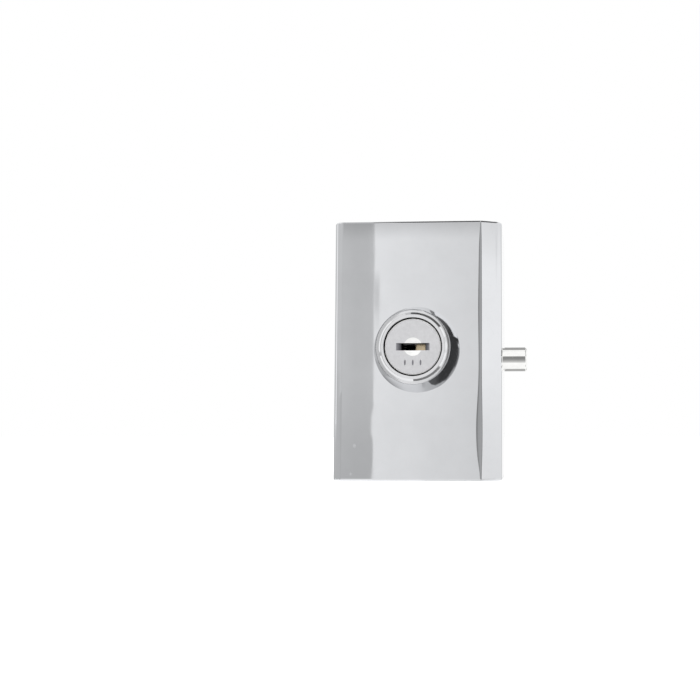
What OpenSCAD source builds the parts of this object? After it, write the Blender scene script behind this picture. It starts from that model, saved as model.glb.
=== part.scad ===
// Clamp-on lock for a glass cabinet door.
// A folded steel case slips over the edge of the glass. A key turns the plug by a quarter,
// and a crank on its tail draws a round bolt in through the right wall.
// Axes: +X towards the bolt, +Y from the front towards the back, +Z up.
// Origin: on the cylinder's axis, on the face that the glass lies against.

/* [Case] */
// Width of the folded case
case_w = 37; // [36:0.5:44]
// Height of the folded case
case_h = 57; // [50:0.5:70]
// Thickness of the case's sheet steel
sheet_t = 1.2; // [1:0.1:1.5]
// Inner radius of the case's folds
fold_r = 0.8; // [0.5:0.1:1.2]
// Distance from the case's left wall to the cylinder's axis
axis_from_left = 18.5; // [17.5:0.25:19]
// Width of the sloping strip along the bolt side, seen from the front
slope_w = 4.2; // [3:0.1:5]
// How far that strip falls back at the case's right wall
slope_drop = 1.6; // [0.8:0.1:2]
// How far the chassis and the pads stay inside the ends of the case
end_inset = 0.4; // [0.2:0.1:1]

/* [Glass clamp] */
// Widest gap for the glass, with the clamp open
glass_gap = 6.4; // [6:0.1:8]
// How far the clamp closes on thinner glass
clamp_travel = 2.4; // [1:0.1:3]
// Thickness of the pads at the front and at the edge of the glass
pad_t = 1; // [0.6:0.1:1.5]
// Thickness of the pad on the clamp plate
clamp_pad_t = 0.8; // [0.5:0.1:1.5]
// Thickness of the clamp plate
clamp_plate_t = 1.2; // [1:0.1:2]
// Height of the clamp plate
clamp_h = 48; // [40:0.5:49]
// Thickness of the threaded block on the rear wall
block_t = 2.5; // [2:0.1:4]
// Width of the threaded block
block_w = 14; // [11:0.5:18]
// Distance between the two clamp screws
screw_spacing = 28; // [22:0.5:32]
// Diameter of the clamp screws
screw_d = 4; // [3:0.1:5]
// Length of the clamp screws
screw_len = 6; // [5.5:0.1:8]
// Width across flats of the screws' hexagon sockets
screw_hex = 2; // [1.5:0.1:2.2]
// Distance between the block's two rivets
rivet_spacing = 14; // [10:0.5:16]
// Diameter of the rivets' shanks
rivet_d = 2.5; // [2:0.1:3]
// Diameter of the rivets' heads
rivet_head_d = 4.4; // [3.6:0.1:5]
// Height of the rivets' heads
rivet_head_h = 0.8; // [0.5:0.1:1.2]

/* [Cylinder] */
// Diameter of the cylinder's collar at the case
collar_d = 18.7; // [18:0.1:20]
// Diameter of the collar at its ledge
rim_d = 15.9; // [15.6:0.1:17.4]
// How far the collar stands out of the case
collar_h = 7.5; // [4:0.1:8]
// Radius of the collar's front edge
rim_r = 0.25; // [0.2:0.05:0.5]
// Width of the ledge around the collar's raised front ring
ledge_w = 0.65; // [0.5:0.05:0.8]
// How far that ledge lies behind the front ring, which slopes down to it at 45 degrees
ledge_drop = 0.45; // [0.2:0.05:0.5]
// How far the plug's face lies behind the front ring
face_inset = 0.3; // [0.15:0.05:0.5]
// Diameter of the cylinder's body inside the case
barrel_d = 16; // [15.4:0.1:16.4]
// Width across the flats of the cylinder's body
barrel_flats = 14; // [13.6:0.1:14.6]
// Thickness of the spring clip that holds the cylinder
clip_t = 0.8; // [0.5:0.1:1]
// How far the spring clip reaches past the cylinder's body
clip_past = 2.2; // [1.5:0.1:2.5]
// Depth of the clip's groove in the cylinder's body
clip_groove = 0.8; // [0.4:0.05:0.8]

/* [Plug] */
// Diameter of the plug's head
plug_head_d = 11.9; // [11.8:0.1:12.4]
// Length of the plug's head
plug_head_len = 2.4; // [2:0.1:3]
// Diameter of the plug's body
plug_d = 11; // [10.6:0.1:11.2]
// Width of the gap around the plug's head
head_gap = 0.18; // [0.1:0.02:0.25]
// Width of the keyway inside the plug
keyway_w = 5.1; // [5:0.1:5.8]
// Height of the keyway
keyway_h = 1.55; // [1.4:0.05:2]
// Width of the keyway's mouth at the front face
mouth_w = 7.1; // [7:0.1:8]
// Depth of the sloping ends of the keyway's mouth
mouth_depth = 1; // [0.5:0.1:1.5]
// Diameter of the dished centre of the front face
dish_d = 3.9; // [3:0.1:5]
// Depth of the dished centre
dish_depth = 0.35; // [0.2:0.05:0.5]
// Number of wafers
wafer_count = 4; // [2:1:4]
// Thickness of a wafer
wafer_t = 0.8; // [0.6:0.05:0.9]
// Spacing of the wafers along the plug
wafer_pitch = 1.7; // [1.5:0.05:1.8]
// Height of a wafer
wafer_h = 3.9; // [3.6:0.1:4.2]
// Place of the front wafer's inner edge, right of the axis
wafer_edge = 0.55; // [0.2:0.05:1]
// Wire diameter of the wafer springs
spring_wire = 0.15; // [0.1:0.01:0.18]
// Outer diameter of the wafer springs
spring_d = 0.78; // [0.7:0.02:0.85]
// Number of turns of a wafer spring
spring_turns = 5; // [3:1:5]

/* [Bolt] */
// Diameter of the round bolt
bolt_d = 5.4; // [4.6:0.1:5.4]
// Diameter of the bolt's guided shank inside the case
shank_d = 5.8; // [5.6:0.1:6]
// How far the bolt stands out of the case when thrown
bolt_throw = 5.5; // [4.8:0.1:5.6]
// Length of the bolt from its shoulder to its tip
bolt_len = 12.4; // [12:0.1:12.5]
// How far the bolt's axis lies below the cylinder's axis
bolt_drop = 1.4; // [1.2:0.1:2.2]
// Chamfer at the bolt's tip
bolt_chamfer = 0.3; // [0.1:0.05:0.6]
// Diameter of the tenon that joins the bolt to its slide
tenon_d = 2.4; // [1.8:0.1:2.4]
// Length of that tenon
tenon_len = 3.4; // [2:0.1:3.6]
// Thickness of the bolt's slide
slide_t = 3; // [2.8:0.1:3.4]
// Width of the slide's prongs and of the web below its notch
prong_w = 2; // [1.5:0.1:2.2]

/* [Crank] */
// Angle that the key turns
key_turn = 90; // [80:1:100]
// Diameter of the crank's pin
crank_pin_d = 3; // [2.6:0.1:3]
// Thickness of the crank's disc
crank_t = 1.6; // [1.5:0.1:2]
// Ring of metal around the crank's pin
crank_rim = 0.6; // [0.4:0.1:0.6]
// Width across the flats of the plug's square tail
tail_w = 4; // [3.8:0.1:4.2]
// Length of that tail
tail_len = 0.6; // [0.4:0.1:1]
// Diameter of the crank screw's thread
crank_screw_d = 2.2; // [2:0.1:2.4]
// Length of the crank screw's thread
crank_screw_len = 3; // [2:0.1:3.2]

/* [Chassis] */
// Thickness of the chassis web that the cylinder passes through
web_t = 4; // [3:0.1:5]
// Thickness of the plate that closes the back of the chassis
back_plate_t = 1; // [0.9:0.1:1.5]
// Diameter of the screws that hold the back plate
plate_screw_d = 2; // [1.6:0.1:2.2]
// Length of those screws
plate_screw_len = 5; // [4:0.1:6]
// Distance from the chassis ends to the back plate's screws
plate_screw_inset = 4; // [3.5:0.1:5]

/* [Clearances] */
// Radial play of the plug and the bolt in their bores
run_play = 0.06; // [0.03:0.01:0.09]
// Gap beside sliding and turning pieces
slide_gap = 0.2; // [0.15:0.05:0.3]
// Gap on each side of the crank's pin in the slide's notch
notch_play = 0.22; // [0.18:0.02:0.4]
// Gap around pieces that are put in and stay put
seat_gap = 0.1; // [0.05:0.01:0.15]
// Gap around the clamp plate
clamp_gap = 0.4; // [0.3:0.05:0.8]

/* [Hidden] */
$fn = 96;
fold_facets = 12;
eps = 0.01;
past = 1;
far = 200;

// Sides of the case
left_x = -axis_from_left;
right_x = case_w - axis_from_left;
left_in = left_x + sheet_t;
right_in = right_x - sheet_t;
inner_h = case_h - 2 * end_inset;

// Places along Y, from the glass towards the front
plate_back = -pad_t;
plate_front = plate_back - back_plate_t;
bolt_y = plate_front - seat_gap - shank_d / 2;
slide_front = bolt_y - slide_t / 2;
crank_back = slide_front - slide_gap;
crank_front = crank_back - crank_t;
barrel_end = crank_front - seat_gap;
clip_land = 0.4;
clip_back = barrel_end - clip_land;
clip_front = clip_back - clip_t;
front_in = clip_front - web_t;
front_y = front_in - sheet_t;
collar_y = front_y - collar_h;
collar_foot = 0.5;
ledge_y = collar_y + ledge_drop;
face_y = collar_y + face_inset;

// Places along Y, from the glass towards the back
clamp_pad_back = glass_gap + clamp_pad_t;
clamp_back = clamp_pad_back + clamp_plate_t;
block_front = clamp_back + slide_gap;
rear_in = block_front + block_t;
rear_y = rear_in + sheet_t;

// The fold between the front and the sloping strip
slope_angle = atan2(slope_drop, slope_w);
crease_x = right_x - slope_w;

// Crank and bolt. The pin swings evenly to both sides of straight down
crank_r = bolt_throw / (2 * sin(key_turn / 2));
crank_disc_r = crank_r + crank_pin_d / 2 + crank_rim;
pin_x = crank_r * sin(key_turn / 2);
pin_z = -crank_r * cos(key_turn / 2);
pin_rivet_r = crank_pin_d / 3;
tenon_wall = 0.6;
notch_half = crank_pin_d / 2 + notch_play;
notch_low = -crank_r - notch_half;
slide_low = notch_low - prong_w;
slide_top = -bolt_drop + tenon_d / 2 + tenon_wall;
slide_left = pin_x - notch_half - prong_w;
bolt_tip = right_x + bolt_throw;
shoulder_x = bolt_tip - bolt_len;
channel_left = slide_left - bolt_throw - slide_gap;
channel_right = shoulder_x + slide_gap;

// Cylinder and plug
head_back = face_y + plug_head_len;
bore_r = plug_d / 2 + run_play;
counterbore_r = plug_head_d / 2 + head_gap;
clip_d = barrel_d + 2 * clip_past;
pocket_r = clip_d / 2 + slide_gap;
shoulder_t = 0.3;
wafer_room = 0.9;
wafer_start = 0.7;
first_wafer_y = head_back + wafer_start;
spring_lift = 0.05;
spring_z = wafer_h / 2 + spring_d / 2 + spring_lift;
spring_end_x = 3.5;
window_play = 0.2;
lug_left = -1.4;
lug_right = -0.1;
keyway_wall = 0.9;
keyway_end = barrel_end - keyway_wall;
// Steps of each wafer's cut, from the front
cut_step = 0.25;
bitting = [0, 2, 1, 0];

// A box given by its lowest and highest corners
module span(low, high) {
    translate(low) cube(high - low);
}

// A cylinder along +Y from y0 to y1
module rod_y(r, y0, y1) {
    translate([0, y1, 0]) rotate([90, 0, 0]) cylinder(r = r, h = y1 - y0);
}

// A cylinder along +X from x0 to x1
module rod_x(r, x0, x1) {
    translate([x0, 0, 0]) rotate([0, 90, 0]) cylinder(r = r, h = x1 - x0);
}

// A round body about the Y axis. Its profile is drawn as radius and Y
module turned() {
    rotate([90, 0, 0]) mirror([0, 0, 1]) rotate_extrude() children();
}

// The same thing at the same height above and below the axis
module above_and_below(spacing) {
    for (side = [-1, 1]) translate([0, 0, side * spacing / 2]) children();
}

// How much of a sharp-cornered outer length one end loses to a fold of this angle
function fold_loss(angle) = (fold_r + sheet_t) * tan(angle / 2);

// One face of a strip of sheet that runs along +X and folds towards its left. Each step is
// [length, fold angle], and inset is the depth of the face below the outside of the sheet
function fold_path(steps, inset, at = 0, start = [0, 0], heading = 0) =
    let (
        ahead = [cos(heading), sin(heading)],
        left = [-sin(heading), cos(heading)],
        run_end = start + steps[at][0] * ahead,
        fold = steps[at][1],
        centre = run_end + (fold_r + sheet_t) * left,
        turned_to = heading + fold,
        next_start = centre + (fold_r + sheet_t) * [sin(turned_to), -cos(turned_to)],
        arc_points = [for (k = [0:fold_facets])
            let (a = heading + fold * k / fold_facets)
            centre + (fold_r + sheet_t - inset) * [sin(a), -cos(a)]]
    )
    concat(
        at == 0 ? [start + inset * left] : [],
        fold > 0 ? concat(arc_points, fold_path(steps, inset, at + 1, next_start, turned_to))
                 : [run_end + inset * left]
    );

function backwards(points) = [for (i = [len(points) - 1:-1:0]) points[i]];

// Runs and folds of the front of the case, from y_left on the left wall to y_right on the right wall
function front_steps(y_left, y_right) = [
    [y_left - front_y - fold_loss(90), 90],
    [crease_x - left_x - fold_loss(90) - fold_loss(slope_angle), slope_angle],
    [slope_w / cos(slope_angle) - fold_loss(slope_angle) - fold_loss(90 - slope_angle), 90 - slope_angle],
    [y_right - front_y - slope_drop - fold_loss(90 - slope_angle), 0]
];

// Puts a section whose path starts on the left wall at y_left into place, and gives it a height
module stand_section(y_left, height) {
    translate([left_x, y_left, -height / 2]) linear_extrude(height) rotate(-90) children();
}

// The whole sheet, folded: left wall, front, sloping strip, right wall and rear wall
module case_blank() {
    to_rear = front_steps(plate_back, rear_y - fold_loss(90));
    steps = concat([for (i = [0:2]) to_rear[i]], [[to_rear[3][0], 90], [case_w - fold_loss(90), 0]]);
    stand_section(plate_back, case_h)
        polygon(concat(fold_path(steps, 0), backwards(fold_path(steps, sheet_t))));
}

module case_shell() {
    color("gainsboro")
        difference() {
            case_blank();
            rod_y(barrel_d / 2 + seat_gap, front_y - eps, front_in + eps);
            translate([0, bolt_y, -bolt_drop]) rod_x(shank_d / 2 + slide_gap, right_in - eps, right_x + eps);
            above_and_below(screw_spacing) rod_y(screw_d / 2 + slide_gap, rear_in - eps, rear_y + eps);
            above_and_below(rivet_spacing) rod_y(rivet_d / 2, rear_in - eps, rear_y + eps);
        }
}

// The round body of the cylinder with its two flats
module barrel_section(grow) {
    intersection() {
        circle(d = barrel_d + 2 * grow);
        square([far, barrel_flats + 2 * grow], center = true);
    }
}

// An extrusion along +Y of a section drawn in X and Z
module extrude_y(y0, y1) {
    translate([0, y1, 0]) rotate([90, 0, 0]) linear_extrude(y1 - y0) children();
}

// The chassis fills the front of the case and follows the inside of its folds
module chassis_blank() {
    stand_section(plate_front, inner_h) polygon(fold_path(front_steps(plate_front, plate_front), sheet_t));
}

module plate_screw_places() {
    wide = (right_in - left_in) / 2 - plate_screw_inset;
    tall = inner_h / 2 - plate_screw_inset;
    middle = (right_in + left_in) / 2;
    for (x = [-wide, wide], z = [-tall, tall]) translate([middle + x, 0, z]) children();
}

module lock_chassis() {
    color("silver")
        difference() {
            chassis_blank();
            extrude_y(front_in - eps, plate_front) barrel_section(seat_gap);
            rod_y(pocket_r, clip_front, plate_front + eps);
            span([channel_left, bolt_y - shank_d / 2 - slide_gap, slide_low - slide_gap],
                 [channel_right, plate_front + eps, -bolt_drop + shank_d / 2 + slide_gap]);
            translate([0, bolt_y, -bolt_drop]) rod_x(shank_d / 2 + run_play, channel_right - eps, right_in + eps);
            plate_screw_places() rod_y(plate_screw_d / 2, plate_back - plate_screw_len, plate_front + eps);
        }
}

module back_plate() {
    color("lightgray")
        difference() {
            span([left_in, plate_front, -inner_h / 2], [right_in, plate_back, inner_h / 2]);
            plate_screw_places() turned() plate_screw_profile(seat_gap);
        }
}

// Half the section of a countersunk screw, with its head flush with the back plate
module plate_screw_profile(grow) {
    head_r = plate_screw_d * 0.95;
    thread_r = plate_screw_d / 2;
    polygon([
        [0, plate_back - plate_screw_len],
        [thread_r, plate_back - plate_screw_len],
        [thread_r, plate_back - (head_r - thread_r)],
        [head_r + grow, plate_back + grow],
        [0, plate_back + grow]
    ]);
}

module back_plate_screws() {
    color("darkgray") plate_screw_places() turned() plate_screw_profile(0);
}

// Half the section of the collar: a conical wall, a ledge with a rounded rim and a raised front ring
module collar_profile() {
    rim = rim_d / 2;
    slope_foot = rim - ledge_w;
    polygon([
        [0, front_y], [collar_d / 2, front_y], [collar_d / 2, front_y - collar_foot],
        [rim, ledge_y + rim_r], [rim - rim_r, ledge_y], [slope_foot, ledge_y],
        [slope_foot - ledge_drop, collar_y], [0, collar_y]
    ]);
    translate([rim - rim_r, ledge_y + rim_r]) circle(r = rim_r);
}

module barrel() {
    color("whitesmoke")
        difference() {
            union() {
                turned() collar_profile();
                extrude_y(front_y - eps, barrel_end) barrel_section(0);
            }
            rod_y(bore_r, collar_y - past, barrel_end + past);
            rod_y(counterbore_r, collar_y - past, head_back);
            extrude_y(head_back + shoulder_t, barrel_end + past)
                square([2 * (bore_r + wafer_room), wafer_h + 2 * seat_gap], center = true);
            difference() {
                rod_y(barrel_d, clip_front, clip_back);
                rod_y(barrel_d / 2 - clip_groove, clip_front - past, clip_back + past);
            }
        }
}

module barrel_clip() {
    inside = barrel_d / 2 - clip_groove + seat_gap;
    color("slategray")
        extrude_y(clip_front, clip_back)
            difference() {
                circle(d = clip_d);
                circle(r = inside);
                translate([-inside, -far]) square([2 * inside, far]);
            }
}

// The opening for the key: a straight slot with a mouth that narrows from the front
module keyway() {
    span([-keyway_w / 2, face_y - past, -keyway_h / 2], [keyway_w / 2, keyway_end, keyway_h / 2]);
    translate([0, 0, -keyway_h / 2])
        linear_extrude(keyway_h)
            polygon([
                [-mouth_w / 2, face_y - eps], [mouth_w / 2, face_y - eps],
                [keyway_w / 2, face_y + mouth_depth], [-keyway_w / 2, face_y + mouth_depth]
            ]);
}

// A shallow round dish of the given width and depth, cut into the front face
module dish() {
    ball_r = (pow(dish_d / 2, 2) + pow(dish_depth, 2)) / (2 * dish_depth);
    translate([0, face_y + dish_depth - ball_r, 0]) sphere(r = ball_r);
}

module plug() {
    edge = 0.15;
    color("gainsboro")
        difference() {
            union() {
                turned()
                    polygon([
                        [0, face_y], [plug_head_d / 2 - edge, face_y], [plug_head_d / 2, face_y + edge],
                        [plug_head_d / 2, head_back - seat_gap], [plug_d / 2, head_back - seat_gap],
                        [plug_d / 2, crank_front], [0, crank_front]
                    ]);
                span([-tail_w / 2, crank_front - eps, -tail_w / 2], [tail_w / 2, crank_front + tail_len, tail_w / 2]);
            }
            keyway();
            dish();
            rod_y(crank_screw_d / 2, crank_back - crank_screw_len, crank_back + past);
            for (i = [0:wafer_count - 1]) translate([0, first_wafer_y + i * wafer_pitch, 0]) wafer_slot();
        }
}

// The slot for one wafer, with a pocket above it for the wafer's spring
module wafer_slot() {
    span([-far, -seat_gap / 2, -wafer_h / 2 - seat_gap / 2], [far, wafer_t + seat_gap / 2, wafer_h / 2 + seat_gap / 2]);
    span([lug_left - seat_gap, -seat_gap / 2, 0], [spring_end_x, wafer_t + seat_gap / 2, spring_z + spring_d / 2 + seat_gap]);
}

// One wafer: a flat brass plate with a window for the key and a lug that its spring pushes on
module wafer(shift) {
    window_left = -keyway_w / 2 - window_play;
    translate([0, wafer_t, 0])
        rotate([90, 0, 0])
            linear_extrude(wafer_t)
                difference() {
                    union() {
                        intersection() {
                            square([far, wafer_h], center = true);
                            circle(r = plug_d / 2 - seat_gap);
                        }
                        translate([lug_left, 0]) square([lug_right - lug_left, spring_z + spring_d / 2]);
                    }
                    translate([window_left, -keyway_h / 2 - window_play / 2])
                        square([wafer_edge - shift - window_left, keyway_h + window_play]);
                }
}

module wafer_tumblers() {
    color("darkkhaki")
        for (i = [0:wafer_count - 1])
            translate([0, first_wafer_y + i * wafer_pitch, 0]) wafer(cut_step * bitting[i]);
}

// A coil spring along +X from 0 to len: rings of points joined into one closed tube
function coil_ring(s, len, turns, r, wire, sides) =
    let (turn = 360 * turns * s, slant = atan2(len, 2 * PI * r * turns))
    [for (k = [0:sides - 1])
        let (a = 360 * k / sides, out = wire * cos(a), along = wire * sin(a))
        [len * s + along * cos(slant),
         (r + out) * cos(turn) + along * sin(slant) * sin(turn),
         (r + out) * sin(turn) - along * sin(slant) * cos(turn)]];

module coil_spring(len, turns, outer_d, wire_d) {
    sides = 6;
    rings = 8 * turns;
    r = (outer_d - wire_d) / 2;
    points = [for (i = [0:rings]) each coil_ring(i / rings, len, turns, r, wire_d / 2, sides)];
    walls = [for (i = [0:rings - 1], k = [0:sides - 1])
        let (a = i * sides + k, b = i * sides + (k + 1) % sides)
        each [[a, a + sides, b], [b, a + sides, b + sides]]];
    first = [for (k = [1:sides - 2]) [0, k, k + 1]];
    last = [for (k = [1:sides - 2]) [rings * sides, rings * sides + k + 1, rings * sides + k]];
    polyhedron(points, concat(first, walls, last));
}

module wafer_springs() {
    start = lug_right + spring_wire;
    color("silver")
        for (i = [0:wafer_count - 1])
            translate([start, first_wafer_y + i * wafer_pitch + wafer_t / 2, spring_z])
                coil_spring(spring_end_x - spring_wire - start, spring_turns, spring_d, spring_wire);
}

module crank_disc() {
    color("darkgray")
        difference() {
            rod_y(crank_disc_r, crank_front, crank_back);
            span([-tail_w / 2 - seat_gap, crank_front - past, -tail_w / 2 - seat_gap],
                 [tail_w / 2 + seat_gap, crank_front + tail_len + seat_gap, tail_w / 2 + seat_gap]);
            turned() crank_screw_profile(seat_gap);
            translate([pin_x, 0, pin_z]) rod_y(pin_rivet_r, crank_front - past, crank_back + past);
        }
}

// The crank's pin stands on the disc and is riveted through it
module crank_pin() {
    color("silver")
        translate([pin_x, 0, pin_z]) {
            rod_y(crank_pin_d / 2, crank_back, slide_front + slide_t);
            rod_y(pin_rivet_r, crank_front, crank_back + eps);
        }
}

// Half the section of the countersunk screw that holds the crank on the plug's tail
module crank_screw_profile(grow) {
    head_r = crank_screw_d * 0.85;
    thread_r = crank_screw_d / 2;
    polygon([
        [0, crank_back - crank_screw_len],
        [thread_r, crank_back - crank_screw_len],
        [thread_r, crank_back - (head_r - thread_r)],
        [head_r + grow, crank_back + grow],
        [0, crank_back + grow]
    ]);
}

module crank_screw() {
    color("gray") turned() crank_screw_profile(0);
}

// The slide behind the cylinder. Its notch is open at the top and takes the crank's pin
module bolt_slide() {
    color("silver")
        difference() {
            span([slide_left, slide_front, slide_low], [shoulder_x, slide_front + slide_t, slide_top]);
            span([pin_x - notch_half, slide_front - past, notch_low + notch_half],
                 [pin_x + notch_half, slide_front + slide_t + past, far]);
            translate([pin_x, 0, notch_low + notch_half])
                rod_y(notch_half, slide_front - past, slide_front + slide_t + past);
            translate([0, bolt_y, -bolt_drop]) rod_x(tenon_d / 2, shoulder_x - tenon_len, shoulder_x + past);
        }
}

module bolt_pin() {
    color("gainsboro")
        translate([0, bolt_y, -bolt_drop]) {
            rod_x(shank_d / 2, shoulder_x, right_x);
            rod_x(bolt_d / 2, right_x - eps, bolt_tip - bolt_chamfer);
            translate([bolt_tip - bolt_chamfer, 0, 0])
                rotate([0, 90, 0]) cylinder(r1 = bolt_d / 2, r2 = bolt_d / 2 - bolt_chamfer, h = bolt_chamfer);
            rod_x(tenon_d / 2, shoulder_x - tenon_len, shoulder_x + eps);
        }
}

module front_pad() {
    color("dimgray")
        span([left_in, plate_back, -inner_h / 2], [right_in - pad_t, 0, inner_h / 2]);
}

module edge_pad() {
    color("dimgray")
        span([right_in - pad_t, plate_back, -inner_h / 2], [right_in, glass_gap, inner_h / 2]);
}

// Left and right ends of the clamp plate, and its pad
clamp_left = left_in + clamp_gap;
clamp_right = right_in - pad_t - clamp_gap;

module clamp_plate() {
    color("lightgray")
        span([clamp_left, clamp_pad_back, -clamp_h / 2], [clamp_right, clamp_back, clamp_h / 2]);
}

module clamp_pad() {
    color("dimgray")
        span([clamp_left, glass_gap, -clamp_h / 2], [clamp_right, clamp_pad_back, clamp_h / 2]);
}

module screw_block() {
    block_h = screw_spacing + 2 * screw_d;
    color("silver")
        difference() {
            span([-block_w / 2, block_front, -block_h / 2], [block_w / 2, rear_in, block_h / 2]);
            above_and_below(screw_spacing) rod_y(screw_d / 2 + run_play, block_front - past, rear_in + past);
            above_and_below(rivet_spacing) rod_y(rivet_d / 2, block_front - past, rear_in + past);
        }
}

// A domed rivet through the block and the rear wall
module block_rivets() {
    dome_r = (pow(rivet_head_d / 2, 2) + pow(rivet_head_h, 2)) / (2 * rivet_head_h);
    color("silver")
        above_and_below(rivet_spacing) {
            rod_y(rivet_d / 2, block_front, rear_y + eps);
            intersection() {
                translate([0, rear_y + rivet_head_h - dome_r, 0]) sphere(r = dome_r);
                rod_y(rivet_head_d / 2, rear_y, rear_y + rivet_head_h);
            }
        }
}

// Headless screws whose tips press on the clamp plate
module clamp_screws() {
    tip_h = 0.5;
    socket_depth = 2;
    color("gray")
        above_and_below(screw_spacing)
            difference() {
                union() {
                    rod_y(screw_d / 2, clamp_back + tip_h, clamp_back + screw_len);
                    translate([0, clamp_back + tip_h, 0])
                        rotate([90, 0, 0]) cylinder(r1 = screw_d / 2, r2 = screw_d / 2 - tip_h, h = tip_h);
                }
                translate([0, clamp_back + screw_len + eps, 0])
                    rotate([90, 0, 0]) cylinder(d = screw_hex / cos(30), h = socket_depth, $fn = 6);
            }
}

case_shell();
lock_chassis();
back_plate();
back_plate_screws();
barrel();
barrel_clip();
plug();
wafer_tumblers();
wafer_springs();
crank_disc();
crank_pin();
crank_screw();
bolt_slide();
bolt_pin();
front_pad();
edge_pad();
clamp_plate();
clamp_pad();
screw_block();
block_rivets();
clamp_screws();
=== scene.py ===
import math

import bmesh
import bpy
from bpy.props import FloatProperty, FloatVectorProperty, PointerProperty
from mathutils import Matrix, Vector, noise


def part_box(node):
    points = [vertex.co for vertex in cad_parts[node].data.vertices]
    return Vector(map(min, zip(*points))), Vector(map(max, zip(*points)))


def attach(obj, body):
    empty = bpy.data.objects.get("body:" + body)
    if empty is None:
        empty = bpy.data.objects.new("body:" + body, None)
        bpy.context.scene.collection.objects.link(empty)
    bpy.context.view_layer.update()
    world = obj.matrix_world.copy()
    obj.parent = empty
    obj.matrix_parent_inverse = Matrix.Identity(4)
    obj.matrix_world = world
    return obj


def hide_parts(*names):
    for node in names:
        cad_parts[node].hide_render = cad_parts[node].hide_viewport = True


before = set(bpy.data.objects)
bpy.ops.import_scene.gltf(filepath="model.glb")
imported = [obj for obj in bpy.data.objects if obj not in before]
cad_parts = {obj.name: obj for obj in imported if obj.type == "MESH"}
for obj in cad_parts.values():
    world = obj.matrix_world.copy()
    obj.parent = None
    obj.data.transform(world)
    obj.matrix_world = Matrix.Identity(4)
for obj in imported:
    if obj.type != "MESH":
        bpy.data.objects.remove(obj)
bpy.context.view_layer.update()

bl_info = {
    "name": "Glass door lock",
    "version": (1, 0, 0),
    "blender": (4, 5, 0),
    "location": "3D View > Sidebar > Lock",
    "description": "Dresses a clamp-on lock for a glass cabinet door and sets up its studio",
    "category": "Object",
}

MM = 0.001

# Places that the solids give, in metres
CASE_LOW, CASE_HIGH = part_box("case_shell")
BARREL_LOW, BARREL_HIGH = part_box("barrel")
PLUG_LOW, PLUG_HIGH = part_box("plug")
BOLT_LOW, BOLT_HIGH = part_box("bolt_pin")
FRONT_Y = CASE_LOW[1]
REAR_Y = CASE_HIGH[1]
FACE_Y = PLUG_LOW[1]
PLATE_BACK_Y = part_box("front_pad")[0][1]


# Properties


def length(name, description, default_mm):
    """A length property with its default given in millimetres."""
    return FloatProperty(
        name=name, description=description, default=default_mm * MM, min=0.0, max=1.0,
        precision=5, subtype="DISTANCE", unit="LENGTH",
    )


def slant(name, description, default_deg, low_deg=-90.0, high_deg=90.0):
    """An angle property with its default given in degrees."""
    return FloatProperty(
        name=name, description=description, default=math.radians(default_deg),
        min=math.radians(low_deg), max=math.radians(high_deg), precision=4, subtype="ANGLE", unit="ROTATION",
    )


def share(name, description, default):
    """A plain number of about 1 at most."""
    return FloatProperty(name=name, description=description, default=default, min=-1.0, max=2.0)


def colour(name, description, default):
    """A colour property in linear values."""
    return FloatVectorProperty(
        name=name, description=description, default=default, min=0.0, max=1.0, size=3, subtype="COLOR",
    )


class LockSizes(bpy.types.PropertyGroup):
    """Sizes of the pieces that the solids don't give by their boxes."""

    sheet: length("Sheet", "Thickness of the folded sheet", 1.2)
    fold: length("Fold", "Outer radius of the folds", 2.0)
    crease: length("Crease", "Outer radius of the tight crease beside the sloping strip", 0.35)
    crease_tilt: slant("Crease tilt", "How far the front has bent where the crease starts", 7.0, 0.0, 15.0)
    slope_width: length("Slope width", "Width of the sloping strip beside the bolt", 4.45)
    slope_drop: length("Slope drop", "How far the sloping strip falls back", 1.6)
    edge_round: length("Edge", "Radius of the sheet's cut edges", 0.4)
    waviness: length("Waviness", "Height of the soft waves that polishing leaves in the front", 0.008)
    rim: length("Rim", "Diameter of the collar at its ledge", 15.9)
    rim_round: length("Rim edge", "Radius of the collar's outer front edge", 0.25)
    ledge_width: length("Ledge", "Width of the ledge around the collar's raised front ring", 0.65)
    ledge_drop: length("Ledge drop", "How far the ledge lies behind the front ring, which slopes to it", 0.45)
    ring_round: length("Ring edge", "Radius of the edges of that slope", 0.08)
    bore_edge: length("Bore edge", "Radius of the edge around the plug", 0.06)
    collar_foot: length("Collar foot", "Height of the straight foot of the collar", 0.5)
    collar_hollow: length("Collar hollow", "How far the collar's wall is hollowed between rim and foot", 0.1)
    head_bore: length("Head bore", "Diameter of the bore around the plug's head", 12.42)
    head_length: length("Head length", "Length of the plug's head", 2.4)
    plug_bore: length("Plug bore", "Diameter of the bore around the plug's body", 11.12)
    body: length("Body", "Width of the cylinder's body inside the case", 14.0)
    dish: length("Dish", "Diameter of the dish in the plug's face", 3.95)
    mouth: length("Mouth", "Width of the keyway's mouth", 7.14)
    keyway: length("Keyway", "Height of the keyway", 1.58)
    mark_gap: length("Mark gap", "Distance between the punch marks under the keyway", 1.65)
    mark_below: length("Mark place", "How far the punch marks lie below the axis", 3.35)
    mark_height: length("Mark height", "Height of a punch mark", 1.2)
    barrel_hole: length("Barrel hole", "Diameter of the hole for the cylinder", 16.2)
    bolt_hole: length("Bolt hole", "Diameter of the hole for the bolt", 5.96)
    screw_hole: length("Screw hole", "Diameter of the holes for the clamp screws", 4.4)
    rivet_hole: length("Rivet hole", "Diameter of the holes for the rivets", 2.5)


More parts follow.
